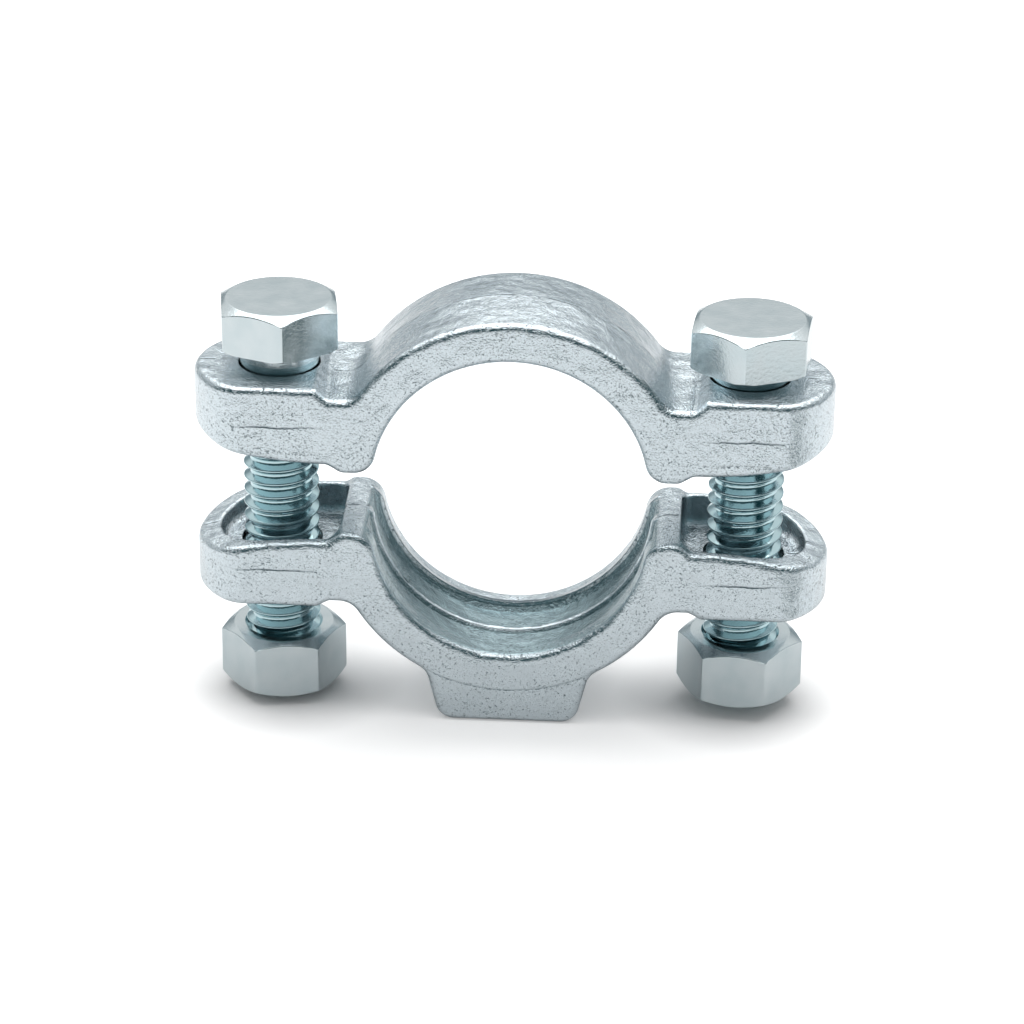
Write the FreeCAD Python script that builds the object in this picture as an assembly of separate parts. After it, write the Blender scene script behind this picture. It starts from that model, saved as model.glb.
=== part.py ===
# Double bolt pipe clamp: two cast jaws pulled together round a pipe by two hexagon bolts and nuts.
# Millimetres. X runs from bolt to bolt, Y runs along the pipe, Z is up.
# The origin is the middle of the foot's underside, on which the clamp stands.
import FreeCAD, Part
import math
import os

from FreeCAD import Vector

# Pipe bore, the same in both jaws
bore_radius = 21.65
jaw_depth = 23.0
ring_wall = 6.45
ring_ridge = 0.6
bore_lip_width = 3.6
bore_lip_slope = 1.4
bore_groove_depth = 1.2
bore_ridge_height = 0.6
bore_ridge_width = 2.4

# Bolt holes, and the ears round them
bolt_stand_off = 8.9
bolt_diameter = 12.0
hole_clearance = 1.0
ear_end_radius = 13.4
ear_corner_radius = 6.0
ear_tip_relief = 3.6
ear_relief_gap = 1.0
pocket_wall = 1.9
pocket_end_wall = 3.8
pocket_lug_gap = 0.5
pocket_depth = 4.4
pocket_corner_radius = 2.0
pocket_floor_radius = 1.6
pocket_rim_radius = 0.5

# Heights of the upper jaw's faces above the axis of its bore
upper_lug_face = 2.05
upper_ear_face = 3.4
upper_ear_rise = 0.0
upper_valley = 14.4
upper_valley_rise = 1.1
upper_seat = 16.2
upper_lug_corner_radius = 3.4

# Depths of the lower jaw's faces below the axis of its bore
lower_lug_face = 1.15
lower_ear_face = 2.8
lower_ear_rise = 0.8
lower_valley = 13.2
lower_valley_rise = 0.0
lower_seat = 14.3
lower_lug_corner_radius = 3.9
foot_height = 5.4
foot_width = 21.8
foot_side_angle = 14.0
foot_corner_radius = 3.0
foot_flare_radius = 3.5

# Lugs beside the bore, on which the jaws meet, and the step up to each bolt seat
lug_land = 4.8
lug_step_length = 2.2
lug_blend_radius = 2.0
seat_step_gap = 0.4
seat_step_length = 2.0
seat_blend_radius = 1.0
valley_radius = 3.6
edge_radius = 1.2

# Gap between the lugs of the two jaws, as the clamp stands open
lug_gap = 10.3

# Hexagon bolts
head_width = 18.0
hexagon_edge_radius = 0.35
chamfer_angle = 30.0
head_height = 7.5
head_top_radius = 8.3
head_bottom_radius = 9.6
neck_diameter = 12.4
neck_length = 5.0
bolt_length = 55.0
bolt_end_chamfer = 1.0

# Hexagon nuts
nut_width = 17.6
nut_height = 10.0
nut_face_radius = 8.0
nut_countersink = 0.5
thread_clearance = 0.05

# How far from a worked-out corner an edge is still taken for the one to round
edge_search_radius = 1.2
same_place = 0.01

# How far each head stands above its seat, and how far each nut hangs below its own
left_head_lift = 3.45
right_head_lift = 2.35
left_nut_drop = 7.95
right_nut_drop = 6.95

# Degrees by which each hexagon is turned from having a corner to the front
left_head_turn = 3.8
right_head_turn = -1.8
left_nut_turn = 39.0
right_nut_turn = 24.0

# Sizes worked out from the driving ones
half_depth = jaw_depth / 2
ring_radius = bore_radius + ring_wall
bolt_x = ring_radius + bolt_stand_off
hole_radius = (bolt_diameter + hole_clearance) / 2
ear_tip = bolt_x + ear_end_radius
lug_reach = bore_radius + lug_land
lug_end = lug_reach + lug_step_length
relief_start = lug_end + ear_relief_gap
seat_step_reach = ring_radius + seat_step_gap
pocket_width = jaw_depth - 2 * pocket_wall
pocket_end_reach = ear_end_radius - pocket_end_wall
pocket_flat_reach = bolt_x - lug_reach - pocket_lug_gap
lower_axis = ring_radius + foot_height
upper_axis = lower_axis - lower_lug_face + lug_gap - upper_lug_face
lower_seat_height = lower_axis - lower_seat
upper_seat_height = upper_axis + upper_seat
beyond = bolt_x + 2 * ear_end_radius
foot_side_slope = math.tan(math.radians(foot_side_angle))
UP = Vector(0, 0, 1)
ALONG_PIPE = Vector(0, 1, 0)
CENTRE = Vector(0, 0, 0)


def slab(points):
    """Prism across the whole depth of a jaw, from its corners as (x, z)."""
    corners = [Vector(x, -half_depth, z) for x, z in points]
    face = Part.Face(Part.makePolygon(corners + corners[:1]))
    return face.extrude(Vector(0, jaw_depth, 0))


def ear_fall(x):
    """How far an ear's inner face has curved away from the other jaw at a distance x from the middle."""
    length = ear_tip - relief_start
    radius = (length ** 2 + ear_tip_relief ** 2) / (2 * ear_tip_relief)
    return radius - math.sqrt(radius ** 2 - max(0, abs(x) - relief_start) ** 2)


def ear_bar(ear_face, ear_rise, valley, valley_rise):
    """Bar through both ears; its faces rise to the back and the inner one curves away at the tips."""
    far = ear_tip + edge_radius
    over = 2 * valley
    places = [(x, ear_face + ear_fall(x)) for x in (relief_start, ear_tip, far)]
    start, middle, end = [Vector(x, -half_depth, z) for x, z in places]
    right = Part.Arc(start, middle, end).toShape()
    left = right.mirror(CENTRE, Vector(1, 0, 0))
    corners = [end, Vector(far, -half_depth, over), Vector(-far, -half_depth, over),
               Vector(-end.x, end.y, end.z)]
    inner_edge = Part.makeLine(Vector(-start.x, start.y, start.z), start)
    outline = Part.Wire(Part.__sortEdges__([right, left, inner_edge] + Part.makePolygon(corners).Edges))
    inner = Part.Face(outline).extrude(Vector(0, jaw_depth, -ear_rise))
    section = [Vector(-far, -half_depth, -over), Vector(-far, half_depth, -over),
               Vector(-far, half_depth, valley + valley_rise), Vector(-far, -half_depth, valley)]
    outer = Part.Face(Part.makePolygon(section + section[:1])).extrude(Vector(2 * far, 0, 0))
    return inner.common(outer)


def mirrored_slabs(points):
    """The same prism on the right and on the left."""
    left = [(-x, z) for x, z in reversed(points)]
    return [slab(points), slab(left)]


def revolved(points):
    """Solid turned about the Y axis, from its outline as (y, radius)."""
    corners = [Vector(0, y, radius) for y, radius in points]
    face = Part.Face(Part.makePolygon(corners + corners[:1]))
    return face.revolve(CENTRE, ALONG_PIPE, 360)


def turned(points):
    """Solid turned about the Z axis, from its outline as (radius, z)."""
    corners = [Vector(radius, 0, z) for radius, z in points]
    face = Part.Face(Part.makePolygon(corners + corners[:1]))
    return face.revolve(CENTRE, UP, 360)


def edges_across(shape, front, back=None):
    """Edges across the jaw, on both sides, near a line from (x, z) in front to (x, z) behind."""
    found = []
    for edge in shape.Edges:
        ends = sorted((vertex.Point for vertex in edge.Vertexes), key=lambda point: point.y)
        if len(ends) != 2 or ends[1].y - ends[0].y < half_depth - same_place:
            continue
        far_off = []
        for end in ends:
            share = (end.y + half_depth) / jaw_depth
            x, z = [a + (b - a) * share for a, b in zip(front, back or front)]
            far_off.append(math.hypot(abs(end.x) - x, end.z - z))
        if max(far_off) < edge_search_radius:
            found.append(edge)
    return found


def sharp_edges(shape, least_angle=20.0):
    """Edges along which two faces meet at more than least_angle degrees."""
    found = []
    for edge in shape.Edges:
        faces = shape.ancestorsOfType(edge, Part.Face)
        if len(faces) != 2:
            continue
        middle = edge.valueAt((edge.FirstParameter + edge.LastParameter) / 2)
        normals = [face.normalAt(*face.Surface.parameter(middle)) for face in faces]
        if math.degrees(normals[0].getAngle(normals[1])) > least_angle:
            found.append(edge)
    return found


def across(point):
    """The same point on the other side of the mid plane of the jaw."""
    return Vector(point.x, -point.y, point.z)


def ear_end_arcs(side, height):
    """Three arcs round the end of one ear, and the points where they start and end."""
    corner_y = half_depth - ear_corner_radius
    reach = ear_end_radius - ear_corner_radius
    corner_x = math.sqrt(reach ** 2 - corner_y ** 2)
    half_way = (math.pi / 2 + math.atan2(corner_y, corner_x)) / 2
    start = Vector(side * (bolt_x + corner_x), -half_depth, height)
    middle = start + Vector(side * ear_corner_radius * math.cos(half_way),
                            ear_corner_radius * (1 - math.sin(half_way)), 0)
    tangent = Vector(side * (bolt_x + ear_end_radius * corner_x / reach),
                     -ear_end_radius * corner_y / reach, height)
    tip = Vector(side * (bolt_x + ear_end_radius), 0, height)
    arcs = [Part.Arc(start, middle, tangent),
            Part.Arc(tangent, tip, across(tangent)),
            Part.Arc(across(tangent), across(middle), across(start))]
    return [arc.toShape() for arc in arcs], start, across(start)


def plan_block(bottom, top):
    """The jaw's outline seen from above, as a prism from bottom to top."""
    right, right_front, right_back = ear_end_arcs(1, bottom)
    left, left_front, left_back = ear_end_arcs(-1, bottom)
    sides = [Part.makeLine(left_front, right_front), Part.makeLine(left_back, right_back)]
    outline = Part.Wire(Part.__sortEdges__(right + left + sides))
    return Part.Face(outline).extrude(Vector(0, 0, top - bottom))


def ring():
    """The body round the bore, thicker at mid depth, where the two halves of its mould met."""
    return revolved([(-half_depth, 0), (-half_depth, ring_radius), (0, ring_radius + ring_ridge),
                     (half_depth, ring_radius), (half_depth, 0)])


def bore_recess():
    """What is cut from the bore between its two lips, round a low ridge at mid depth."""
    lip = half_depth - bore_lip_width
    floor = lip - bore_lip_slope
    deep = bore_radius + bore_groove_depth
    shallow = bore_radius / 2
    ridge = bore_ridge_width / 2
    near_side = [(-lip, shallow), (-lip, bore_radius), (-floor, deep), (-ridge, deep)]
    far_side = [(-y, radius) for y, radius in reversed(near_side)]
    return revolved(near_side + [(0, deep - bore_ridge_height)] + far_side)


def pocket(side, face):
    """What is cut from an ear's inner face: straight towards the bore and round at the ear's end."""
    half_width = pocket_width / 2
    flat = -pocket_flat_reach
    round_start = pocket_end_reach - half_width
    corners = [Vector(round_start, -half_width, 0), Vector(flat, -half_width, 0),
               Vector(flat, half_width, 0), Vector(round_start, half_width, 0)]
    end = Part.Arc(corners[3], Vector(pocket_end_reach, 0, 0), corners[0]).toShape()
    outline = Part.Wire(Part.makePolygon(corners).Edges + [end])
    block = Part.Face(outline).extrude(UP * (2 * pocket_depth))
    upright = [edge for edge in block.Edges
               if len(edge.Vertexes) == 2 and all(abs(v.X - flat) < same_place for v in edge.Vertexes)
               and edge.BoundBox.ZLength > pocket_depth]
    block = block.makeFillet(pocket_corner_radius, upright)
    floor = [edge for edge in block.Edges if edge.BoundBox.ZMin > 2 * pocket_depth - same_place]
    block = block.makeFillet(pocket_floor_radius, floor)
    if side < 0:
        block.rotate(CENTRE, UP, 180)
    block.translate(Vector(side * bolt_x, 0, face - pocket_depth))
    return block


def pocket_rim(shape, side, ear_face, ear_rise):
    """Edges of the pocket's mouth in one ear's inner face."""
    widest = pocket_width / 2 + same_place
    furthest = bolt_x + pocket_end_reach + same_place
    found = []
    for edge in shape.Edges:
        start, end = edge.ParameterRange
        points = [edge.valueAt(place) for place in (start, (start + end) / 2, end)]
        off_face = [point.z - ear_face - ear_fall(point.x) + ear_rise * (point.y + half_depth) / jaw_depth
                    for point in points]
        if max(abs(gap) for gap in off_face) < same_place and all(
                abs(point.y) < widest and 0 < side * point.x < furthest for point in points):
            found.append(edge)
    return found


def foot_side_meets_ring(bottom, top):
    """The (x, z) at which the foot's slanting side runs into the ring."""
    steep = 1 + foot_side_slope ** 2
    half = top - bottom * foot_side_slope
    fall = (half - math.sqrt(half ** 2 - steep * (bottom ** 2 + top ** 2 - ring_radius ** 2))) / steep
    return bottom + fall * foot_side_slope, top - fall


def jaw(lug_face, ear_face, ear_rise, valley, valley_rise, seat, lug_corner_radius, foot=False):
    """One cast jaw with its bore's axis on Y and its ring upwards: ring, ears, lugs and foot."""
    top = ring_radius + foot_height
    step_end = seat_step_reach + seat_step_length
    lug_foot = bore_radius / 2
    bosses = mirrored_slabs([(seat_step_reach, valley), (beyond, valley), (beyond, seat),
                             (step_end, seat)])
    lugs = mirrored_slabs([(lug_foot, lug_face), (lug_reach, lug_face), (lug_end, ear_face),
                           (lug_foot, ear_face)])
    above_ears = slab([(-ring_radius * 2, ear_face), (ring_radius * 2, ear_face),
                       (ring_radius * 2, ring_radius * 2), (-ring_radius * 2, ring_radius * 2)])
    pieces = bosses + lugs + [ring().common(above_ears)]
    if foot:
        bottom = foot_width / 2
        root = bottom + (top - bore_radius) * foot_side_slope
        pieces.append(slab([(-root, bore_radius), (root, bore_radius), (bottom, top), (-bottom, top)]))
    body = ear_bar(ear_face, ear_rise, valley, valley_rise).fuse(pieces).removeSplitter()
    bore = Part.makeCylinder(bore_radius, jaw_depth, Vector(0, -half_depth, 0), ALONG_PIPE)
    body = body.cut(bore).removeSplitter()

    valley_ends = [(math.sqrt(ring_radius ** 2 - z ** 2), z) for z in (valley, valley + valley_rise)]
    body = body.makeFillet(valley_radius, edges_across(body, *valley_ends))
    boss_slope = seat_step_length / (seat - valley)
    boss_foot = (seat_step_reach + valley_rise * boss_slope, valley + valley_rise)
    blends = edges_across(body, (seat_step_reach, valley), boss_foot) + edges_across(body, (step_end, seat))
    body = body.makeFillet(seat_blend_radius, blends)
    lug_slope = lug_step_length / (ear_face - lug_face)
    lug_root = (lug_end - ear_rise * lug_slope, ear_face - ear_rise)
    blends = edges_across(body, (lug_reach, lug_face)) + edges_across(body, (lug_end, ear_face), lug_root)
    body = body.makeFillet(lug_blend_radius, blends)
    lug_start = math.sqrt(bore_radius ** 2 - lug_face ** 2)
    body = body.makeFillet(lug_corner_radius, edges_across(body, (lug_start, lug_face)))
    if foot:
        body = body.makeFillet(foot_corner_radius, edges_across(body, (foot_width / 2, top)))
        side_foot = foot_side_meets_ring(foot_width / 2, top)
        body = body.makeFillet(foot_flare_radius, edges_across(body, side_foot))

    body = body.common(plan_block(0, 2 * top)).removeSplitter()
    body = body.makeFillet(edge_radius, sharp_edges(body))
    body = body.cut(bore_recess())
    for side in (-1, 1):
        body = body.cut(pocket(side, ear_face))
        body = body.makeFillet(pocket_rim_radius, pocket_rim(body, side, ear_face, ear_rise))
        hole = Part.makeCylinder(hole_radius, 2 * seat, Vector(side * bolt_x, 0, 0), UP)
        body = body.cut(hole)
    return body.removeSplitter()


def hexagon(width, height, bottom_radius, top_radius):
    """Hexagonal block on the Z axis with a corner to the front, chamfered at both ends."""
    fall = math.tan(math.radians(chamfer_angle))
    corner = width / math.sqrt(3)
    wide = 1.1 * corner
    corners = [Vector(corner * math.cos(math.radians(angle)), corner * math.sin(math.radians(angle)), 0)
               for angle in range(-90, 270, 60)]
    block = Part.Face(Part.makePolygon(corners + corners[:1])).extrude(UP * height)
    upright = [edge for edge in block.Edges if edge.BoundBox.ZLength > height / 2]
    block = block.makeFillet(hexagon_edge_radius, upright)
    chamfers = turned([(0, 0), (bottom_radius, 0), (wide, (wide - bottom_radius) * fall),
                       (wide, height - (wide - top_radius) * fall), (top_radius, height), (0, height)])
    return block.common(chamfers)


def bolt():
    """Hexagon bolt on the Z axis, with the underside of its head at height 0."""
    head = hexagon(head_width, head_height, head_bottom_radius, head_top_radius)
    neck = neck_diameter / 2
    shank = bolt_diameter / 2
    body = turned([(0, head_height / 2), (neck, head_height / 2), (neck, -neck_length),
                   (shank, -neck_length - (neck - shank)), (shank, bolt_end_chamfer - bolt_length),
                   (shank - bolt_end_chamfer, -bolt_length), (0, -bolt_length)])
    return head.fuse(body).removeSplitter()


def nut():
    """Hexagon nut on the Z axis, with its top face at height 0."""
    body = hexagon(nut_width, nut_height, nut_face_radius, nut_face_radius)
    bore = bolt_diameter / 2 + thread_clearance
    mouth = bore + nut_countersink
    over = nut_height + nut_countersink
    hole = turned([(0, -nut_countersink), (mouth, -nut_countersink), (mouth, 0), (bore, nut_countersink),
                   (bore, nut_height - nut_countersink), (mouth, nut_height), (mouth, over), (0, over)])
    body = body.cut(hole)
    body.translate(Vector(0, 0, -nut_height))
    return body


def placed(shape, side, height, turn):
    """The shape turned on its own axis and set on one bolt's axis at a height."""
    shape.rotate(CENTRE, UP, turn)
    shape.translate(Vector(side * bolt_x, 0, height))
    return shape


def upper_jaw():
    """The plain jaw on top, under the bolt heads."""
    shape = jaw(upper_lug_face, upper_ear_face, upper_ear_rise, upper_valley, upper_valley_rise,
                upper_seat, upper_lug_corner_radius)
    shape.translate(Vector(0, 0, upper_axis))
    return shape


def lower_jaw():
    """The jaw with the foot, turned upside down so that the foot is at the bottom."""
    shape = jaw(lower_lug_face, lower_ear_face, lower_ear_rise, lower_valley, lower_valley_rise,
                lower_seat, lower_lug_corner_radius, foot=True)
    shape.rotate(CENTRE, ALONG_PIPE, 180)
    shape.translate(Vector(0, 0, lower_axis))
    return shape


os.makedirs("parts", exist_ok=True)
pieces = {
    "upper_jaw": upper_jaw(),
    "lower_jaw": lower_jaw(),
    "bolt_left": placed(bolt(), -1, upper_seat_height + left_head_lift, left_head_turn),
    "bolt_right": placed(bolt(), 1, upper_seat_height + right_head_lift, right_head_turn),
    "nut_left": placed(nut(), -1, lower_seat_height - left_nut_drop, left_nut_turn),
    "nut_right": placed(nut(), 1, lower_seat_height - right_nut_drop, right_nut_turn),
}
for name, piece in pieces.items():
    piece.exportStep(f"parts/{name}.step")
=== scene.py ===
"""Looks of a cast pipe clamp with two hexagon bolts, in bright zinc plating."""
import math

import bpy
from mathutils import Matrix, Vector


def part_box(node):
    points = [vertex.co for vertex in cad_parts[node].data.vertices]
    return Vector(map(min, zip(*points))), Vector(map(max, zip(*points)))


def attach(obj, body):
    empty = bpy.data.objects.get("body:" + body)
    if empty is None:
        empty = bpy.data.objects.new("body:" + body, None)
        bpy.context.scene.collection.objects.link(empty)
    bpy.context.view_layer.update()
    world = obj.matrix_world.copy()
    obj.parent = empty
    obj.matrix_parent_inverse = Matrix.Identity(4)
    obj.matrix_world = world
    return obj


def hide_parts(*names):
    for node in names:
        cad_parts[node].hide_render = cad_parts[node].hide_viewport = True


bl_info = {
    "name": "Double Bolt Pipe Clamp",
    "version": (1, 0, 0),
    "blender": (4, 5, 0),
    "location": "3D View > Sidebar > Pipe Clamp",
    "description": "Models the threaded bolts and nuts of a pipe clamp and plates it with zinc",
    "category": "Object",
}

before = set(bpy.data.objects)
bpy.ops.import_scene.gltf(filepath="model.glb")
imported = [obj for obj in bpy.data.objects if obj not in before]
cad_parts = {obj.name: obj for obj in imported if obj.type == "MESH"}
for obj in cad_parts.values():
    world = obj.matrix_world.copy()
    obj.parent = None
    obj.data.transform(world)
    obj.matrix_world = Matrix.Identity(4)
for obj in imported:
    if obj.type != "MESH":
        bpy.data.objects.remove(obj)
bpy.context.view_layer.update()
MM = 0.001
SIDES = ("left", "right")

# places on the clamp that the patterns of the plating, and its painted shade, follow
BOLT_X = 37 * MM
UNDER_HEADS_Z = 58 * MM
EAR_HALF_WIDTH = 10 * MM
EAR_FRONT_Y = -9.5 * MM
UPPER_FOLD_Z = 50.4 * MM
DOTTED_FOLD_Z = 46.2 * MM
LOWER_FOLD_Z = 25.7 * MM
BETWEEN_JAWS_Z = 38 * MM
FOOT_TOP_Z = 9 * MM
UPPER_AXIS_Z = 40.6 * MM
LOWER_AXIS_Z = 33.5 * MM
RING_RADIUS = 27.65 * MM
OUTSIDE_BORE_RADIUS = 23.6 * MM
INSIDE_BORE_RADIUS = 23.0 * MM
BACK_LIP_Y = 7.9 * MM
GROOVES_BACK_Y = 7.4 * MM
GROOVES_FRONT_Y = -10.7 * MM
GROOVES_SOFT_EDGE = 0.2 * MM
RIDGE_HALF_WIDTH = 0.5 * MM

SPIN_STEPS = 96
THREAD_STEPS = 60
SAME_POINT = 0.002 * MM
ON_CUT = 1e-7
# a rolled crest's edge: how far along the axis from the sharp edge, and how far below the crest
ROUNDED_CREST = ((-0.01 * MM, 0.045 * MM), (0.05 * MM, 0.01 * MM), (0.11 * MM, 0.0))
CREST_SETBACK = 0.07 * MM
ROOT_SETBACK = 0.06 * MM
ROOT_SAG = 0.03 * MM


def linear(hex_colour):
    """Linear red, green and blue of an sRGB colour written as #RRGGBB."""
    channels = [int(hex_colour[i:i + 2], 16) / 255 for i in (1, 3, 5)]
    return tuple(c / 12.92 if c <= 0.04045 else ((c + 0.055) / 1.055) ** 2.4 for c in channels)


def length(name, description, millimetres):
    return bpy.props.FloatProperty(name=name, description=description, default=millimetres * MM,
                                   unit="LENGTH", precision=5)


def colour(name, description, hex_colour):
    return bpy.props.FloatVectorProperty(name=name, description=description, subtype="COLOR",
                                         min=0, max=1, default=linear(hex_colour))


def turn(name, description, degrees):
    return bpy.props.FloatProperty(name=name, description=description, subtype="ANGLE",
                                   default=math.radians(degrees))


def place(name, description, metres):
    return bpy.props.FloatVectorProperty(name=name, description=description,
                                         subtype="TRANSLATION", default=metres)


class ClampThreadSizes(bpy.types.PropertyGroup):
    """Rolled thread of the bolts, and the thread in the nuts that fits it"""

    radius: length("Thread radius", "Outer radius of the bolts' thread", 6.0)
    pitch: length("Pitch", "Rise of the thread in one turn", 2.3)
    depth: length("Thread depth", "Depth of the root below the crest", 1.15)
    crest: length("Crest width", "Width of the flat on the crest", 0.28)
    clearance: length("Clearance", "Room between the bolt's thread and the nut's", 0.05)
    flank: turn("Flank angle", "Slope of each flank", 30)
    left_phase: length("Left phase", "Height of a crest of the left bolt, on its +X side", 1.695)
    right_phase: length("Right phase", "Height of a crest of the right bolt, on its +X side", 0.18)


class ClampHexagonSizes(bpy.types.PropertyGroup):
    """Hexagons of the bolt heads and the nuts"""

    head_width: length("Head across flats", "Width of the bolts' heads", 18.0)
    nut_width: length("Nut across flats", "Width of the nuts", 17.6)
    corner: length("Corner radius", "Rounding of the upright corners", 0.35)
    head_height: length("Head height", "Height of a bolt's head", 7.5)
    head_top: length("Head face radius", "Radius of the flat on top of a head", 8.3)
    head_under: length("Head bearing radius", "Radius of the flat under a head", 9.6)
    nut_face: length("Nut face radius", "Radius of the flats at both ends of a nut", 8.0)
    neck_radius: length("Neck radius", "Radius of the plain neck under a head", 6.2)
    neck_length: length("Neck length", "Length of the plain neck under a head", 5.0)
    point: length("Point chamfer", "Chamfer at the end of a bolt", 1.0)
    mouth: length("Nut mouth radius", "Radius of the countersink at both faces of a nut", 6.3)
    broken: length("Broken edges", "Rounding of the other edges", 0.12)
    chamfer: turn("Chamfer angle", "Slope of the hexagons' chamfers", 30)
    left_head: turn("Left head turn", "Turn of the left head from a corner to the front", 8.6)
    right_head: turn("Right head turn", "Turn of the right head from a corner to the front", -6.4)
    left_nut: turn("Left nut turn", "Turn of the left nut from a corner to the front", 39)
    right_nut: turn("Right nut turn", "Turn of the right nut from a corner to the front", 24)


class ClampSkinSizes(bpy.types.PropertyGroup):
    """Grain of the zinc plating on the castings and on the bolts and nuts"""

    lumps: length("Lumps", "Width of the lumps in the cast skin", 3.2)
    sand: length("Sand grain", "Width of the grain that the mould's sand leaves", 0.36)
    pits: length("Pits", "Width of the dark flecks in the cast skin", 0.5)
    patches: length("Patches", "Width of the patches that have more or fewer flecks", 5.0)
    wander: length("Wander", "Length over which a fold or a seam strays from its line", 4.0)
    cast_relief: length("Cast relief", "Height of the lumps in the cast skin", 0.4)
    clouds: length("Clouds", "Width of the duller clouds on the steel", 3.5)
    marks: length("Fine marks", "Width of the fine marks on the steel", 0.5)
    steel_relief: length("Steel relief", "Height of the fine marks on the steel", 0.02)


class ClampFinishColours(bpy.types.PropertyGroup):
    """Colours of the zinc plating on the castings and on the bolts and nuts"""

    cast_light: colour("Cast zinc", "Plating on the cast skin", "#CAD4D9")
    # bore: painted shade, a darker teal that stands in for the shade in the bore's grooves
    bore: colour("Bore zinc", "Thinner, duller plating in the bore's grooves", "#90A3A8")
    fleck: colour("Flecks", "Dark flecks in the cast skin", "#828F94")
    steel_light: colour("Steel zinc", "Plating on the bolts and nuts", "#CFD6D8")
    steel_dark: colour("Steel zinc, dull", "Duller clouds in that plating", "#AFBEC2")
    # thread: the threads are drawn darker and more blue-green than the rest of the steel
    thread: colour("Thread zinc", "Deeper blue plating in the threads", "#B0C9CE")
    floor: colour("Floor", "Floor and backdrop", "#F4F4F4")
    # room: also the colour of the floor's patch that paints a dark reflection
    room: colour("Room", "Dim room behind the camera, which the metal mirrors", "#3E575B")
    rim: colour("Rim", "Low grey rim of the backdrop, which the metal mirrors", "#98A4A9")


class ClampStage(bpy.types.PropertyGroup):
    """Camera, floor and lights"""

    focal_length: bpy.props.FloatProperty(name="Focal length", description="Lens of the camera",
                                          default=129.48, unit="CAMERA")
    camera_place: place("Camera place", "Where the camera stands",
                        (0.0274637, -0.5313283, 0.2825147))
    camera_heading: turn("Heading", "How far the camera has gone round from the front", 2.97112)
    camera_height: turn("Height angle", "How steeply the camera looks down", 25.22357)
    camera_roll: turn("Roll", "Tilt of the camera about its own line of sight", 0.70082)
    floor_size: length("Floor", "Width of the floor", 1600)
    world_level: bpy.props.FloatProperty(name="World", description="Soft light from all round",
                                         default=0.5, min=0)
    top_power: bpy.props.FloatProperty(name="Top light", description="Power of the light overhead",
                                       default=8.5, min=0, unit="POWER")
    top_size: length("Top light's width", "Width of the light overhead", 1200)
    top_place: place("Top light's place", "Where the light overhead hangs", (-0.05, 0.28, 0.9))
    # a dim patch of the floor that only reflected rays see: a painted dark reflection
    dark_reflection_place: place("Card", "Where a dim card lies, which only the metal mirrors",
                      (0.112, -0.058, 0))


def deselect():
    """Nothing selected, as every modelling step needs."""
    if bpy.context.object and bpy.context.object.mode != "OBJECT":
        bpy.ops.object.mode_set(mode="OBJECT")
    bpy.ops.object.select_all(action="DESELECT")


def work_on(piece):
    """Makes one object the only selected and active one."""
    deselect()
    piece.select_set(True)
    bpy.context.view_layer.objects.active = piece


def draw_outline(name, points):
    """A line in the XZ plane, drawn by extruding one corner from point to point."""
    deselect()
    bpy.ops.mesh.primitive_plane_add(size=MM, location=(0, 0, 0))
    line = bpy.context.object
    line.name = name
    bpy.ops.object.mode_set(mode="EDIT")
    bpy.ops.mesh.select_mode(type="VERT")
    bpy.ops.mesh.select_all(action="SELECT")
    bpy.ops.mesh.merge(type="CENTER")
    here = Vector((points[0][0], 0, points[0][1]))
    bpy.ops.transform.translate(value=here)
    for radius, height in points[1:]:
        there = Vector((radius, 0, height))
        bpy.ops.mesh.extrude_region_move(TRANSFORM_OT_translate={"value": there - here})
        here = there
    bpy.ops.object.mode_set(mode="OBJECT")
    return line


def turn_outline(line):
    """Spins a drawn outline once round the Z axis into a closed solid."""
    work_on(line)
    bpy.ops.object.mode_set(mode="EDIT")
    bpy.ops.mesh.select_all(action="SELECT")
    bpy.ops.mesh.spin(steps=SPIN_STEPS, angle=2 * math.pi, center=(0, 0, 0), axis=(0, 0, 1))
    close_mesh()
    return line


def close_mesh():
    """Merges doubles, turns the faces outwards and goes back to object mode."""
    bpy.ops.mesh.select_all(action="SELECT")
    bpy.ops.mesh.remove_doubles(threshold=SAME_POINT)
    bpy.ops.mesh.normals_make_consistent(inside=False)
    bpy.ops.object.mode_set(mode="OBJECT")


def apply_modifier(piece, name, kind, **settings):
    work_on(piece)
    modifier = piece.modifiers.new(name, kind)
    for key, value in settings.items():
        setattr(modifier, key, value)
    bpy.ops.object.modifier_apply(modifier=name)


def select_edges(piece, indexes):
    """Selects some edges of a piece, given by their numbers, and goes to edit mode."""
    work_on(piece)
    bpy.ops.object.mode_set(mode="EDIT")
    bpy.ops.mesh.select_mode(type="EDGE")
    bpy.ops.mesh.select_all(action="DESELECT")
    bpy.ops.object.mode_set(mode="OBJECT")
    for index in indexes:
        edge = piece.data.edges[index]
        edge.select = True
        for corner in edge.vertices:
            piece.data.vertices[corner].select = True
    bpy.ops.object.mode_set(mode="EDIT")


def edge_ends(piece):
    """The number and the two end points of each edge of a piece."""
    points = [vertex.co.copy() for vertex in piece.data.vertices]
    return [(edge.index, points[edge.vertices[0]], points[edge.vertices[1]])
            for edge in piece.data.edges]


def open_edges(piece):
    """The numbers of the edges that aren't shared by two faces."""
    uses = [0] * len(piece.data.edges)
    for loop in piece.data.loops:
        uses[loop.edge_index] += 1
    return {index for index, count in enumerate(uses) if count != 2}


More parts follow.
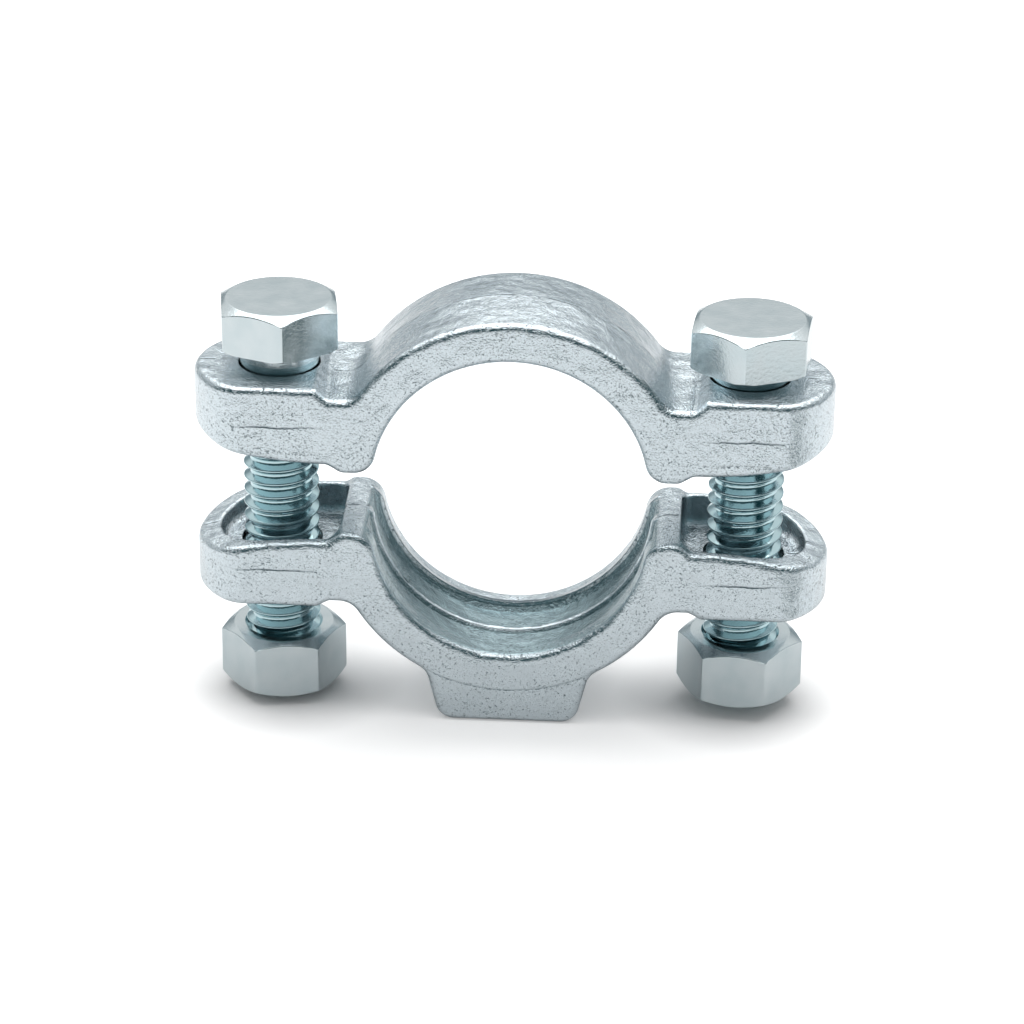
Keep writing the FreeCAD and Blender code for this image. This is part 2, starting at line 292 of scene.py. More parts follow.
def hexagon(name, outline, width, angle, sizes):
    """A turned blank with six flats cut on it, its upright corners rounded, its edges broken."""
    block = turn_outline(draw_outline(name, outline))
    work_on(block)
    bpy.ops.object.mode_set(mode="EDIT")
    for flat in range(6):
        heading = angle + flat * math.pi / 3
        outward = Vector((math.cos(heading), math.sin(heading), 0))
        bpy.ops.mesh.select_all(action="SELECT")
        bpy.ops.mesh.bisect(plane_co=outward * width / 2, plane_no=outward, use_fill=True,
                            clear_outer=True, threshold=ON_CUT)
    # the cuts leave short edges where they pass close by a spun one
    bpy.ops.mesh.select_all(action="SELECT")
    bpy.ops.mesh.remove_doubles(threshold=0.02 * MM)
    bpy.ops.object.mode_set(mode="OBJECT")
    tall, outside = 4 * MM, width / 2 + 0.5 * MM
    select_edges(block, [index for index, one, other in edge_ends(block)
                         if abs(one.z - other.z) > tall
                         and one.xy.length > outside and other.xy.length > outside])
    # on a 120 degree corner the rounding starts 0.6 of its radius away
    bpy.ops.mesh.bevel(offset=sizes.corner * 0.6, segments=3, affect="EDGES")
    bpy.ops.object.mode_set(mode="OBJECT")
    apply_modifier(block, "Broken edges", "BEVEL", width=sizes.broken, segments=2,
                   limit_method="ANGLE", angle_limit=math.radians(22), use_clamp_overlap=False)
    return block


def thread(name, sizes, phase, low, high, extra):
    """The open surface of a thread between two heights, extra larger than the bolt's."""
    crest = sizes.radius + extra
    root = crest - sizes.depth
    slope = math.tan(sizes.flank)
    half = sizes.pitch / 2
    edge = half - sizes.crest / 2
    root_edge = edge - sizes.depth * slope + ROOT_SETBACK
    rise = [(0, root), (root_edge / 2, root + ROOT_SAG),
            (root_edge, root + ROOT_SETBACK / slope),
            (edge - CREST_SETBACK, crest - CREST_SETBACK / slope)]
    rise += [(edge + along, crest - below) for along, below in ROUNDED_CREST]
    fall = [(sizes.pitch - height, radius) for height, radius in reversed(rise)]
    start = phase - half + math.floor((low - phase) / sizes.pitch - 1) * sizes.pitch
    winding = draw_outline(name, [(radius, start + height) for height, radius in rise + fall])
    turns = math.ceil((high - low) / sizes.pitch) + 3
    apply_modifier(winding, "Screw", "SCREW", axis="Z", angle=2 * math.pi,
                   screw_offset=sizes.pitch, iterations=turns, steps=THREAD_STEPS,
                   render_steps=THREAD_STEPS, use_merge_vertices=True,
                   merge_threshold=SAME_POINT)
    bpy.ops.object.mode_set(mode="EDIT")
    for height, beyond in ((low, "clear_inner"), (high, "clear_outer")):
        bpy.ops.mesh.select_all(action="SELECT")
        bpy.ops.mesh.bisect(plane_co=(0, 0, height), plane_no=(0, 0, 1), threshold=ON_CUT,
                            **{beyond: True})
    close_mesh()
    return winding


def bridge(piece, low, high):
    """Bridges the two open rims of a piece that lie between two heights."""
    rims = open_edges(piece)
    select_edges(piece, [index for index, one, other in edge_ends(piece) if index in rims
                         and low < one.z < high and low < other.z < high])
    bpy.ops.mesh.bridge_edge_loops()
    bpy.ops.object.mode_set(mode="OBJECT")


def weld(piece, other, low, high):
    """Joins two open pieces and bridges their rims that lie between two heights."""
    work_on(piece)
    other.select_set(True)
    bpy.ops.object.join()
    bridge(piece, low, high)


def finish_piece(piece, centre):
    """Closes a piece, sets it on its bolt's axis and leaves its object at the origin."""
    rims = open_edges(piece)
    if rims:
        select_edges(piece, rims)
        bpy.ops.mesh.edge_face_add()
    else:
        work_on(piece)
        bpy.ops.object.mode_set(mode="EDIT")
    close_mesh()
    if open_edges(piece):
        raise RuntimeError(f"{piece.name} is not closed")
    piece.matrix_world = Matrix.Translation((centre.x, centre.y, 0))
    bpy.ops.object.transform_apply(location=True, rotation=True, scale=True)
    bpy.ops.object.shade_smooth_by_angle(angle=math.radians(28))
    # flat faces stay flat to the eye, beside their rounded edges
    apply_modifier(piece, "Flat faces", "WEIGHTED_NORMAL", weight=100, keep_sharp=True)
    return piece


def model_bolt(side, thread_sizes, sizes):
    """Hexagon bolt with its thread, where the frame has it."""
    low_corner, high_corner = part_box(f"bolt_{side}")
    top, end = high_corner.z, low_corner.z
    under = top - sizes.head_height
    neck_end = under - sizes.neck_length
    # the blank is a little wider than the hexagon's corners
    corner = sizes.head_width / math.sqrt(3) * 1.01
    fall = math.tan(sizes.chamfer)
    neck = sizes.neck_radius
    bolt = hexagon(f"zinc_bolt_{side}", [
        (neck - 0.3 * MM, neck_end), (neck, neck_end + 0.3 * MM), (neck, under - 0.3 * MM),
        (neck + 0.1 * MM, under - 0.1 * MM), (neck + 0.3 * MM, under), (sizes.head_under, under),
        (corner, under + (corner - sizes.head_under) * fall),
        (corner, top - (corner - sizes.head_top) * fall), (sizes.head_top, top), (0, top)],
        sizes.head_width, getattr(sizes, f"{side}_head"), sizes)
    phase = getattr(thread_sizes, f"{side}_phase")
    winding = thread("thread", thread_sizes, phase, end + sizes.point * 0.8,
                     neck_end - 0.5 * MM, 0)
    weld(bolt, winding, neck_end - 1 * MM, neck_end + 0.1 * MM)
    deselect()
    bpy.ops.mesh.primitive_circle_add(vertices=THREAD_STEPS, location=(0, 0, end),
                                      radius=thread_sizes.radius - sizes.point)
    point = bpy.context.object
    bpy.ops.object.transform_apply(location=True, rotation=True, scale=True)
    weld(bolt, point, end - 1 * MM, end + sizes.point)
    return finish_piece(bolt, (low_corner + high_corner) / 2)


def model_nut(side, thread_sizes, sizes):
    """Hexagon nut with the thread that its bolt runs in, where the frame has it."""
    low_corner, high_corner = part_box(f"nut_{side}")
    low, high = low_corner.z, high_corner.z
    corner = sizes.nut_width / math.sqrt(3) * 1.01
    fall = (corner - sizes.nut_face) * math.tan(sizes.chamfer)
    nut = hexagon(f"zinc_nut_{side}", [
        (sizes.mouth, low), (sizes.nut_face, low), (corner, low + fall), (corner, high - fall),
        (sizes.nut_face, high), (sizes.mouth, high)],
        sizes.nut_width, getattr(sizes, f"{side}_nut"), sizes)
    sink = (sizes.mouth - thread_sizes.radius + thread_sizes.depth) * math.tan(sizes.chamfer)
    bore = thread("bore", thread_sizes, getattr(thread_sizes, f"{side}_phase"), low + sink,
                  high - sink, thread_sizes.clearance)
    weld(nut, bore, low - 1 * MM, low + sink + 0.1 * MM)
    bridge(nut, high - sink - 0.1 * MM, high + 1 * MM)
    return finish_piece(nut, (low_corner + high_corner) / 2)


def add_node(tree, kind, settings=None, links=None):
    """A node with its settings and incoming links; a linked node gives its first output."""
    node = tree.nodes.new(kind)
    for key, value in (settings or {}).items():
        if isinstance(key, int) or key in node.inputs:
            node.inputs[key].default_value = value
        else:
            setattr(node, key, value)
    for key, source in (links or {}).items():
        socket = source.outputs[0] if isinstance(source, bpy.types.Node) else source
        tree.links.new(socket, node.inputs[key])
    return node


def new_material(name):
    material = bpy.data.materials.new(name)
    material.use_nodes = True
    material.node_tree.nodes.clear()
    return material, material.node_tree


def grain(size):
    """Scale of a texture on Object coordinates whose grain has that size in metres."""
    return 1 / size


def line_mark(tree, distance, half_width):
    """One on a thin line and none beyond its half width, from the distance to it in metres."""
    across = add_node(tree, "ShaderNodeMath", {"operation": "ABSOLUTE"}, {0: distance})
    return add_node(tree, "ShaderNodeMapRange", {
        "interpolation_type": "SMOOTHSTEP", "From Min": half_width, "From Max": 0.0},
        {"Value": across})


def ear_folds(tree, at, shift, pits, upper, on_ear):
    """Folds of the casting across the ears' fronts: one at half height, and on the upper ears
    a second, dotted one near the bottom."""
    fold_z = add_node(tree, "ShaderNodeMapRange", {
        "To Min": LOWER_FOLD_Z, "To Max": UPPER_FOLD_Z}, {"Value": upper})
    above_fold = add_node(tree, "ShaderNodeMath", {"operation": "SUBTRACT"},
                          {0: at.outputs["Z"], 1: fold_z})
    above_fold = add_node(tree, "ShaderNodeMath", {"operation": "ADD"}, {0: above_fold, 1: shift})
    fold = add_node(tree, "ShaderNodeMath", {"operation": "MULTIPLY"},
                    {0: line_mark(tree, above_fold, 0.2 * MM), 1: on_ear})
    # the dotted one strays further from its line, and shows only where the pits' grain is high
    above_dots = add_node(tree, "ShaderNodeMath", {
        "operation": "MULTIPLY_ADD", 1: 1.6, 2: -DOTTED_FOLD_Z}, {0: shift})
    above_dots = add_node(tree, "ShaderNodeMath", {"operation": "ADD"},
                          {0: above_dots, 1: at.outputs["Z"]})
    broken = add_node(tree, "ShaderNodeMapRange", {"From Min": 0.5, "From Max": 0.56},
                      {"Value": pits})
    dots = add_node(tree, "ShaderNodeMath", {"operation": "MULTIPLY"},
                    {0: line_mark(tree, above_dots, 0.45 * MM), 1: broken})
    dots = add_node(tree, "ShaderNodeMath", {"operation": "MULTIPLY"}, {0: dots, 1: on_ear})
    folds = add_node(tree, "ShaderNodeMath", {"operation": "MAXIMUM"}, {0: fold, 1: dots})
    in_front = add_node(tree, "ShaderNodeMath", {"operation": "LESS_THAN", 1: EAR_FRONT_Y},
                        {0: at.outputs["Y"]})
    return add_node(tree, "ShaderNodeMath", {"operation": "MULTIPLY"}, {0: folds, 1: in_front})


def mould_seam(tree, at, shift, lumps):
    """Seam that the mould's halves leave at mid depth, with gaps in it."""
    across = add_node(tree, "ShaderNodeMath", {"operation": "ADD"},
                      {0: at.outputs["Y"], 1: shift})
    gaps = add_node(tree, "ShaderNodeMapRange", {"From Min": 0.45, "From Max": 0.55},
                    {"Value": lumps})
    return add_node(tree, "ShaderNodeMath", {"operation": "MULTIPLY"},
                    {0: line_mark(tree, across, 0.3 * MM), 1: gaps})


def ring_crease_shade(tree, at, from_axis):
    """Painted shade of the crease along the ring's outline, which shows faintly across the foot.
    """
    off_ring = add_node(tree, "ShaderNodeMath", {"operation": "SUBTRACT", 1: RING_RADIUS},
                        {0: from_axis})
    on_foot = add_node(tree, "ShaderNodeMath", {"operation": "LESS_THAN", 1: FOOT_TOP_Z},
                       {0: at.outputs["Z"]})
    outline = add_node(tree, "ShaderNodeMath", {"operation": "MULTIPLY"},
                       {0: line_mark(tree, off_ring, 0.22 * MM), 1: on_foot})
    return add_node(tree, "ShaderNodeMath", {"operation": "MULTIPLY", 1: 0.5}, {0: outline})


def groove_shade_mask(tree, at, depth_in, in_bore):
    """Mask of the painted shade in the bore: one in its grooves, from the back lip to the front
    edge but for the ridge.
    """
    off_ridge = add_node(tree, "ShaderNodeMapRange", {
        "From Min": RIDGE_HALF_WIDTH, "From Max": 2 * RIDGE_HALF_WIDTH}, {"Value": depth_in})
    before_lip = add_node(tree, "ShaderNodeMapRange", {
        "From Min": GROOVES_BACK_Y + GROOVES_SOFT_EDGE,
        "From Max": GROOVES_BACK_Y - GROOVES_SOFT_EDGE}, {"Value": at.outputs["Y"]})
    behind_edge = add_node(tree, "ShaderNodeMapRange", {
        "From Min": GROOVES_FRONT_Y - GROOVES_SOFT_EDGE,
        "From Max": GROOVES_FRONT_Y + GROOVES_SOFT_EDGE}, {"Value": at.outputs["Y"]})
    groove = add_node(tree, "ShaderNodeMath", {"operation": "MULTIPLY"},
                      {0: before_lip, 1: behind_edge})
    groove = add_node(tree, "ShaderNodeMath", {"operation": "MULTIPLY"},
                      {0: off_ridge, 1: groove})
    return add_node(tree, "ShaderNodeMath", {"operation": "MULTIPLY"}, {0: groove, 1: in_bore})


def bore_crests(tree, at, depth_in):
    """Height of the ridge at mid depth and of the back lip's edge, so that their crests shine."""
    ridge = add_node(tree, "ShaderNodeMapRange", {
        "From Min": 0.35 * MM, "From Max": 1.3 * MM, "To Min": 1.1, "To Max": 0.0},
        {"Value": depth_in})
    off_lip = add_node(tree, "ShaderNodeMath", {"operation": "SUBTRACT", 1: BACK_LIP_Y},
                       {0: at.outputs["Y"]})
    return add_node(tree, "ShaderNodeMath", {"operation": "MAXIMUM"},
                    {0: ridge, 1: line_mark(tree, off_lip, 0.7 * MM)})


def cast_zinc(colours, skin):
    """Zinc plating on a sand-cast skin."""
    # Electroplated zinc is a bright blue-white metal that mirrors the studio. The rough skin
    # under it breaks the mirror up, so the eye sees a pale, grainy shimmer with bright edges,
    # dark flecks and the folds of the casting. Moulding sand is 0.1 to 0.3 mm wide; its grain
    # and the pits are drawn coarser, as wide as they need to be to show.
    material, tree = new_material("bright zinc plating on sand-cast iron")
    place_on = add_node(tree, "ShaderNodeTexCoord").outputs["Object"]
    at = add_node(tree, "ShaderNodeSeparateXYZ", links={"Vector": place_on})
    lumps = add_node(tree, "ShaderNodeTexNoise", {"Scale": grain(skin.lumps), "Detail": 1.0},
                     {"Vector": place_on})
    sand = add_node(tree, "ShaderNodeTexNoise", {
        "Scale": grain(skin.sand), "Detail": 2.0, "Roughness": 0.6}, {"Vector": place_on})
    pits = add_node(tree, "ShaderNodeTexNoise", {
        "Scale": grain(skin.pits), "Detail": 2.0, "Roughness": 0.75, "Distortion": 0.2},
        {"Vector": place_on})
    patches = add_node(tree, "ShaderNodeTexNoise", {"Scale": grain(skin.patches), "Detail": 1.0},
                       {"Vector": place_on})
    pit_from = add_node(tree, "ShaderNodeMapRange", {
        "From Min": 0.35, "From Max": 0.65, "To Min": 0.57, "To Max": 0.64}, {"Value": patches})
    pit = add_node(tree, "ShaderNodeMapRange", {"From Max": 0.72},
                   {"Value": pits, "From Min": pit_from})
    speck = add_node(tree, "ShaderNodeMapRange", {
        "From Min": 0.58, "From Max": 0.8, "To Max": 0.7}, {"Value": sand})
    flecks = add_node(tree, "ShaderNodeMath", {"operation": "MAXIMUM"}, {0: pit, 1: speck})
    # folds and seams stray up to half a millimetre from their lines
    wander = add_node(tree, "ShaderNodeTexNoise", {"Scale": grain(skin.wander), "Detail": 3.0},
                      {"Vector": place_on})
    shift = add_node(tree, "ShaderNodeMapRange", {"To Min": -0.5 * MM, "To Max": 0.5 * MM},
                     {"Value": wander})
    upper = add_node(tree, "ShaderNodeMath", {
        "operation": "GREATER_THAN", 1: BETWEEN_JAWS_Z}, {0: at.outputs["Z"]})
    from_middle = add_node(tree, "ShaderNodeMath", {"operation": "ABSOLUTE"},
                           {0: at.outputs["X"]})
    off_ear = add_node(tree, "ShaderNodeMath", {"operation": "SUBTRACT", 1: BOLT_X},
                       {0: from_middle})
    on_ear = line_mark(tree, off_ear, EAR_HALF_WIDTH)
    axis_z = add_node(tree, "ShaderNodeMapRange", {
        "To Min": LOWER_AXIS_Z, "To Max": UPPER_AXIS_Z}, {"Value": upper})
    above_axis = add_node(tree, "ShaderNodeMath", {"operation": "SUBTRACT"},
                          {0: at.outputs["Z"], 1: axis_z})
    section = add_node(tree, "ShaderNodeCombineXYZ",
                       links={"X": at.outputs["X"], "Y": above_axis})
    from_axis = add_node(tree, "ShaderNodeVectorMath", {"operation": "LENGTH"},
                         {0: section}).outputs["Value"]
    in_bore = add_node(tree, "ShaderNodeMapRange", {
        "interpolation_type": "SMOOTHSTEP", "From Min": OUTSIDE_BORE_RADIUS,
        "From Max": INSIDE_BORE_RADIUS}, {"Value": from_axis})
    depth_in = add_node(tree, "ShaderNodeMath", {"operation": "ABSOLUTE"}, {0: at.outputs["Y"]})
    lines = add_node(tree, "ShaderNodeMath", {"operation": "MAXIMUM"}, {
        0: ear_folds(tree, at, shift, pits, upper, on_ear),
        1: mould_seam(tree, at, shift, lumps)})
    dark = add_node(tree, "ShaderNodeMath", {"operation": "MAXIMUM"}, {0: lines, 1: flecks})
    # painted shade: the crease along the ring's outline on the foot takes the fleck colour
    dark = add_node(tree, "ShaderNodeMath", {"operation": "MAXIMUM"},
                    {0: dark, 1: ring_crease_shade(tree, at, from_axis)})
    # painted shade: the bore's grooves take the darker bore colour
    plating = add_node(tree, "ShaderNodeMix", {
        "data_type": "RGBA", 6: (*colours.cast_light, 1), 7: (*colours.bore, 1)},
        {0: groove_shade_mask(tree, at, depth_in, in_bore)})
    tint = add_node(tree, "ShaderNodeMix", {"data_type": "RGBA", 7: (*colours.fleck, 1)},
                    {0: dark, 6: plating.outputs[2]})
    # the flat seats and the pockets' floors are rougher, so they sparkle
    normal = add_node(tree, "ShaderNodeNewGeometry").outputs["True Normal"]
    facing = add_node(tree, "ShaderNodeSeparateXYZ", links={"Vector": normal})
    facing_up = add_node(tree, "ShaderNodeMapRange", {"From Min": 0.9, "From Max": 0.98},
                         {"Value": facing.outputs["Z"]})
    on_seat = add_node(tree, "ShaderNodeMath", {"operation": "MULTIPLY"},
                       {0: facing_up, 1: on_ear})
    sand_height = add_node(tree, "ShaderNodeMapRange", {"To Min": 0.4, "To Max": 1.5},
                           {"Value": on_seat})
    height = add_node(tree, "ShaderNodeMath", {"operation": "MULTIPLY_ADD"},
                      {0: sand, 1: sand_height, 2: lumps})
    height = add_node(tree, "ShaderNodeMath", {"operation": "MULTIPLY_ADD", 1: -0.2},
                      {0: dark, 2: height})
    # the bore is a little smoother than the outside
    relief = add_node(tree, "ShaderNodeMapRange", {"To Min": 1.0, "To Max": 0.9},
                      {"Value": in_bore})
    height = add_node(tree, "ShaderNodeMath", {"operation": "MULTIPLY"}, {0: height, 1: relief})
    height = add_node(tree, "ShaderNodeMath", {"operation": "MULTIPLY_ADD"},
                      {0: bore_crests(tree, at, depth_in), 1: in_bore, 2: height})
    bump = add_node(tree, "ShaderNodeBump", {"Strength": 1.0, "Distance": skin.cast_relief},
                    {"Height": height})
    surface = add_node(tree, "ShaderNodeBsdfPrincipled", {"Metallic": 1.0, "Roughness": 0.16},
                       {"Base Color": tint.outputs[2], "Normal": bump})
    add_node(tree, "ShaderNodeOutputMaterial", links={"Surface": surface})
    return material


def smooth_zinc(colours, skin):
    """Zinc plating on forged and rolled steel."""
    # On smooth steel the same plating is a clean, cool mirror. Clouds of duller plating soften
    # it here and there, fine marks keep it from looking like glass, and the threads are drawn
    # in a darker blue-green. Real marks are under 0.1 mm wide and are drawn
    # coarser, so that they show.
    material, tree = new_material("bright zinc plating on rolled steel")
    place_on = add_node(tree, "ShaderNodeTexCoord").outputs["Object"]
    at = add_node(tree, "ShaderNodeSeparateXYZ", links={"Vector": place_on})
    clouds = add_node(tree, "ShaderNodeTexNoise", {"Scale": grain(skin.clouds), "Detail": 4.0},
                      {"Vector": place_on})
    marks = add_node(tree, "ShaderNodeTexNoise", {"Scale": grain(skin.marks), "Detail": 3.0},
                     {"Vector": place_on})
    from_middle = add_node(tree, "ShaderNodeMath", {"operation": "ABSOLUTE"},
                           {0: at.outputs["X"]})
    off_axis = add_node(tree, "ShaderNodeMath", {"operation": "SUBTRACT", 1: BOLT_X},
                        {0: from_middle})
    section = add_node(tree, "ShaderNodeCombineXYZ", links={"X": off_axis, "Y": at.outputs["Y"]})
    from_axis = add_node(tree, "ShaderNodeVectorMath", {"operation": "LENGTH"},
                         {0: section}).outputs["Value"]
    neck, thread_edge = 6.4 * MM, 6.1 * MM
    on_thread = add_node(tree, "ShaderNodeMapRange", {"From Min": neck, "From Max": thread_edge},
                         {"Value": from_axis})
    below_head = add_node(tree, "ShaderNodeMath", {
        "operation": "LESS_THAN", 1: UNDER_HEADS_Z}, {0: at.outputs["Z"]})
    on_thread = add_node(tree, "ShaderNodeMath", {"operation": "MULTIPLY"},
                         {0: on_thread, 1: below_head})
    tint = add_node(tree, "ShaderNodeMix", {
        "data_type": "RGBA", 6: (*colours.steel_dark, 1), 7: (*colours.steel_light, 1)},
        {0: clouds})
    tint = add_node(tree, "ShaderNodeMix", {"data_type": "RGBA", 7: (*colours.thread, 1)},
                    {0: on_thread, 6: tint.outputs[2]})
    bump = add_node(tree, "ShaderNodeBump", {"Strength": 1.0, "Distance": skin.steel_relief},
                    {"Height": marks})
    dullest = add_node(tree, "ShaderNodeMapRange", {"To Min": 0.3, "To Max": 0.12},
                       {"Value": on_thread})
    roughness = add_node(tree, "ShaderNodeMapRange", {"To Min": 0.12},
                         {"Value": clouds, "To Max": dullest})
    surface = add_node(tree, "ShaderNodeBsdfPrincipled", {"Metallic": 1.0}, {
        "Base Color": tint.outputs[2], "Roughness": roughness, "Normal": bump})
    add_node(tree, "ShaderNodeOutputMaterial", links={"Surface": surface})
    return material


def put_material(piece, material):
    """Gives a piece one material in all its slots."""
    if not piece.material_slots:
        piece.data.materials.append(material)
    for slot in piece.material_slots:
        slot.material = material


class CLAMP_OT_plate_jaws(bpy.types.Operator):
    """Plates the two cast jaws"""

    bl_idname = "clamp.plate_jaws"
    bl_label = "Plate the Jaws"

    def execute(self, context):
        material = cast_zinc(context.scene.clamp_colours, context.scene.clamp_skin)
        for name in ("upper_jaw", "lower_jaw"):
            put_material(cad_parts[name], material)
        return {"FINISHED"}


class CLAMP_OT_model_bolts(bpy.types.Operator):
    """Models both bolts with their threads"""

    bl_idname = "clamp.model_bolts"
    bl_label = "Model the Bolts"

    def execute(self, context):
        scene = context.scene
        material = smooth_zinc(scene.clamp_colours, scene.clamp_skin)
        for side in SIDES:
            bolt = model_bolt(side, scene.clamp_thread, scene.clamp_hexagons)
            put_material(bolt, material)
            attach(bolt, f"bolt_{side}")
            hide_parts(f"bolt_{side}")
        return {"FINISHED"}


class CLAMP_OT_model_nuts(bpy.types.Operator):
    """Models both nuts with the threads in them"""

    bl_idname = "clamp.model_nuts"
    bl_label = "Model the Nuts"

    def execute(self, context):
        scene = context.scene
        material = smooth_zinc(scene.clamp_colours, scene.clamp_skin)
        for side in SIDES:
            nut = model_nut(side, scene.clamp_thread, scene.clamp_hexagons)
            put_material(nut, material)
            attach(nut, f"nut_{side}")
            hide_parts(f"nut_{side}")
        return {"FINISHED"}


def paint_world(level, colours):
    """White to the camera; the metal mirrors a light overhead, a dim room and a grey rim."""
    world = bpy.data.worlds.new("studio")
    bpy.context.scene.world = world
    world.use_nodes = True
    tree = world.node_tree
    tree.nodes.clear()
    rays = add_node(tree, "ShaderNodeLightPath")
    seen = add_node(tree, "ShaderNodeMath", {"operation": "MAXIMUM"},
                    {0: rays.outputs["Is Camera Ray"], 1: rays.outputs["Is Glossy Ray"]})
    seen = add_node(tree, "ShaderNodeMath", {"operation": "MAXIMUM"},
                    {0: seen, 1: rays.outputs["Is Transmission Ray"]})
    strength = add_node(tree, "ShaderNodeMapRange", {"To Min": level, "To Max": 1.0},
                        {"Value": seen})
    towards = add_node(tree, "ShaderNodeTexCoord").outputs["Generated"]
    direction = add_node(tree, "ShaderNodeSeparateXYZ", links={"Vector": towards})
    behind = add_node(tree, "ShaderNodeMapRange", {"From Min": -0.25, "From Max": 0.3},
                      {"Value": direction.outputs["Y"]})
    # the room in front is dim up to 0.72 of the way to the zenith, the rim behind up to 0.14
    dim_up_to = add_node(tree, "ShaderNodeMapRange", {"To Min": 0.72, "To Max": 0.14},
                         {"Value": behind})
    bright_from = add_node(tree, "ShaderNodeMapRange", {"To Min": 0.92, "To Max": 0.46},
                           {"Value": behind})
    dim = add_node(tree, "ShaderNodeMapRange", {
        "interpolation_type": "SMOOTHSTEP", "To Min": 1.0, "To Max": 0.0},
        {"Value": direction.outputs["Z"], "From Min": dim_up_to, "From Max": bright_from})
    mirrored = add_node(tree, "ShaderNodeMath", {"operation": "MULTIPLY"},
                        {0: dim, 1: rays.outputs["Is Glossy Ray"]})
    wall = add_node(tree, "ShaderNodeMix", {
        "data_type": "RGBA", 6: (*colours.room, 1), 7: (*colours.rim, 1)}, {0: behind})
    tint = add_node(tree, "ShaderNodeMix", {"data_type": "RGBA", 6: (1, 1, 1, 1)},
                    {0: mirrored, 7: wall.outputs[2]})
    light = add_node(tree, "ShaderNodeBackground",
                     links={"Color": tint.outputs[2], "Strength": strength})
    add_node(tree, "ShaderNodeOutputWorld", links={"Surface": light})


def matt_floor(colours, dark_reflection_place):
    """Seamless matt white paper with a dim patch on it that only reflected rays see: a painted
    dark reflection.
    """
    # Matt paper has no gloss, so the eye sees even white and a soft shadow. A white glow, painted
    # light, lifts it to white away from the clamp and the nuts, for the camera and more weakly for
    # reflections; it also lightens the clamp's wide shadow, and is weaker close to the clamp and
    # none beside the nuts, where the real shadow stays.
    nut_shade = {"From Min": 9 * MM, "From Max": 20 * MM}
    clamp_shade = {"From Min": 20 * MM, "From Max": 75 * MM}
    mirrored_shade = {"From Min": 50 * MM, "From Max": 130 * MM}
    dark_reflection_edge = {"From Min": 44 * MM, "From Max": 30 * MM}
    material, tree = new_material("matt white studio paper")
    rays = add_node(tree, "ShaderNodeLightPath")
    place_on = add_node(tree, "ShaderNodeTexCoord").outputs["Object"]
    at = add_node(tree, "ShaderNodeSeparateXYZ", links={"Vector": place_on})
    away = add_node(tree, "ShaderNodeVectorMath", {"operation": "LENGTH"},
                    {0: place_on}).outputs["Value"]
    from_middle = add_node(tree, "ShaderNodeMath", {"operation": "ABSOLUTE"},
                           {0: at.outputs["X"]})
    off_nut = add_node(tree, "ShaderNodeMath", {"operation": "SUBTRACT", 1: BOLT_X},
                       {0: from_middle})
    section = add_node(tree, "ShaderNodeCombineXYZ", links={"X": off_nut, "Y": at.outputs["Y"]})
    from_nut = add_node(tree, "ShaderNodeVectorMath", {"operation": "LENGTH"},
                        {0: section}).outputs["Value"]
    beside_nut = add_node(tree, "ShaderNodeMapRange", nut_shade, {"Value": from_nut})
    lift = add_node(tree, "ShaderNodeMapRange", {
        **clamp_shade, "To Min": 0.24, "To Max": 0.6}, {"Value": away})
    lift = add_node(tree, "ShaderNodeMath", {"operation": "MULTIPLY"}, {0: lift, 1: beside_nut})
    glow = add_node(tree, "ShaderNodeMath", {"operation": "MULTIPLY"},
                    {0: lift, 1: rays.outputs["Is Camera Ray"]})
    mirrored = add_node(tree, "ShaderNodeMapRange", {
        **mirrored_shade, "To Min": 0.0, "To Max": 0.3}, {"Value": away})
    glow = add_node(tree, "ShaderNodeMath", {"operation": "MULTIPLY_ADD"},
                    {0: mirrored, 1: rays.outputs["Is Glossy Ray"], 2: glow})
    # the dim patch paints a dark reflection on the left head's right flat
    from_dark_reflection = add_node(tree, "ShaderNodeVectorMath", {
        "operation": "DISTANCE", 1: dark_reflection_place}, {0: place_on}).outputs["Value"]
    dark_reflection = add_node(tree, "ShaderNodeMapRange", dark_reflection_edge, {"Value": from_dark_reflection})
    dark_reflection = add_node(tree, "ShaderNodeMath", {"operation": "MULTIPLY"},
                    {0: dark_reflection, 1: rays.outputs["Is Glossy Ray"]})
    paper_colour = add_node(tree, "ShaderNodeMix", {
        "data_type": "RGBA", 6: (*colours.floor, 1), 7: (*colours.room, 1)}, {0: dark_reflection})
    glow = add_node(tree, "ShaderNodeMath", {"operation": "MULTIPLY_ADD", 1: -0.3},
                    {0: dark_reflection, 2: glow})
    paper = add_node(tree, "ShaderNodeBsdfDiffuse", links={"Color": paper_colour.outputs[2]})
    white = add_node(tree, "ShaderNodeEmission", {"Color": (1, 1, 1, 1)}, {"Strength": glow})
    both = add_node(tree, "ShaderNodeAddShader", links={0: paper, 1: white})
    add_node(tree, "ShaderNodeOutputMaterial", links={"Surface": both})
    return material


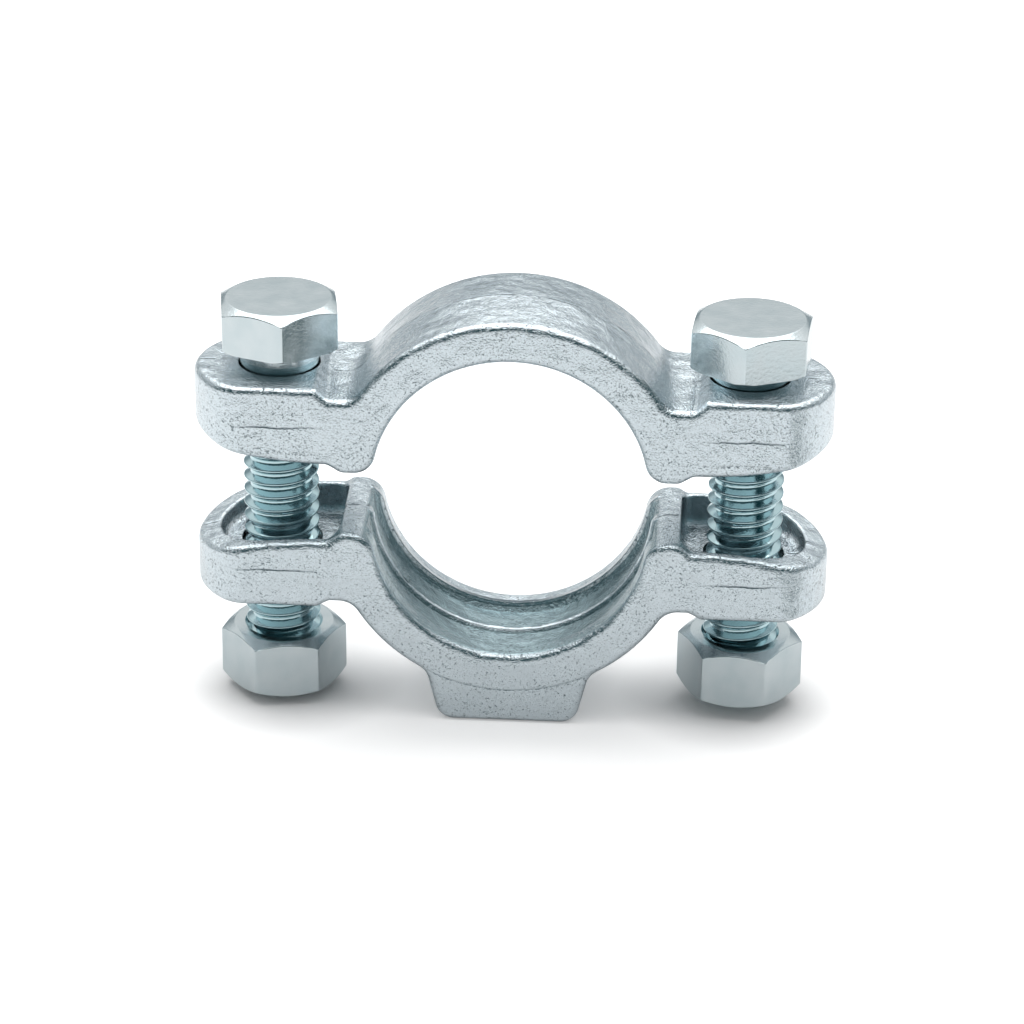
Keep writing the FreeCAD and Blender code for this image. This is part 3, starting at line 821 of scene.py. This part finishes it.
class CLAMP_OT_set_stage(bpy.types.Operator):
    """Lays the floor and sets the light and the camera"""

    bl_idname = "clamp.set_stage"
    bl_label = "Set the Stage"

    def execute(self, context):
        scene = context.scene
        stage = scene.clamp_stage
        scene.view_settings.view_transform = "Standard"
        paint_world(stage.world_level, scene.clamp_colours)
        deselect()
        bpy.ops.mesh.primitive_plane_add(size=stage.floor_size, location=(0, 0, 0))
        floor = context.object
        floor.name = "floor"
        put_material(floor, matt_floor(scene.clamp_colours, stage.dark_reflection_place))
        deselect()
        bpy.ops.object.light_add(type="AREA", location=stage.top_place)
        light = context.object
        light.name = "top_light"
        light.data.shape = "SQUARE"
        light.data.size = stage.top_size
        light.data.energy = stage.top_power
        deselect()
        bpy.ops.object.camera_add()
        camera = context.object
        camera.data.sensor_width = 36
        camera.data.lens = stage.focal_length
        camera.data.clip_end = 20
        heading, height, roll = stage.camera_heading, stage.camera_height, stage.camera_roll
        back = Vector((math.sin(heading) * math.cos(height),
                       -math.cos(heading) * math.cos(height), math.sin(height)))
        right = Vector((math.cos(heading), math.sin(heading), 0))
        up = back.cross(right)
        across = math.cos(roll) * right + math.sin(roll) * up
        upright = -math.sin(roll) * right + math.cos(roll) * up
        camera.matrix_world = (Matrix.Translation(stage.camera_place)
                               @ Matrix((across, upright, back)).transposed().to_4x4())
        scene.camera = camera
        return {"FINISHED"}


class CLAMP_PT_panel(bpy.types.Panel):
    """Steps and settings of the pipe clamp"""

    bl_idname = "CLAMP_PT_panel"
    bl_label = "Pipe Clamp"
    bl_space_type = "VIEW_3D"
    bl_region_type = "UI"
    bl_category = "Pipe Clamp"

    def draw(self, context):
        for operator in OPERATORS:
            self.layout.operator(operator.bl_idname)
        for name, group in GROUPS.items():
            box = self.layout.box()
            settings = getattr(context.scene, name)
            for key in group.__annotations__:
                box.prop(settings, key)


GROUPS = {
    "clamp_thread": ClampThreadSizes,
    "clamp_hexagons": ClampHexagonSizes,
    "clamp_skin": ClampSkinSizes,
    "clamp_colours": ClampFinishColours,
    "clamp_stage": ClampStage,
}
OPERATORS = (CLAMP_OT_plate_jaws, CLAMP_OT_model_bolts, CLAMP_OT_model_nuts, CLAMP_OT_set_stage)


def register():
    for item in (*GROUPS.values(), *OPERATORS, CLAMP_PT_panel):
        bpy.utils.register_class(item)
    for name, group in GROUPS.items():
        setattr(bpy.types.Scene, name, bpy.props.PointerProperty(type=group))


def unregister():
    for name in GROUPS:
        delattr(bpy.types.Scene, name)
    for item in (CLAMP_PT_panel, *reversed(OPERATORS), *reversed(GROUPS.values())):
        bpy.utils.unregister_class(item)


def main():
    register()
    bpy.ops.clamp.plate_jaws()
    bpy.ops.clamp.model_bolts()
    bpy.ops.clamp.model_nuts()
    bpy.ops.clamp.set_stage()


if __name__ == "__main__":
    main()
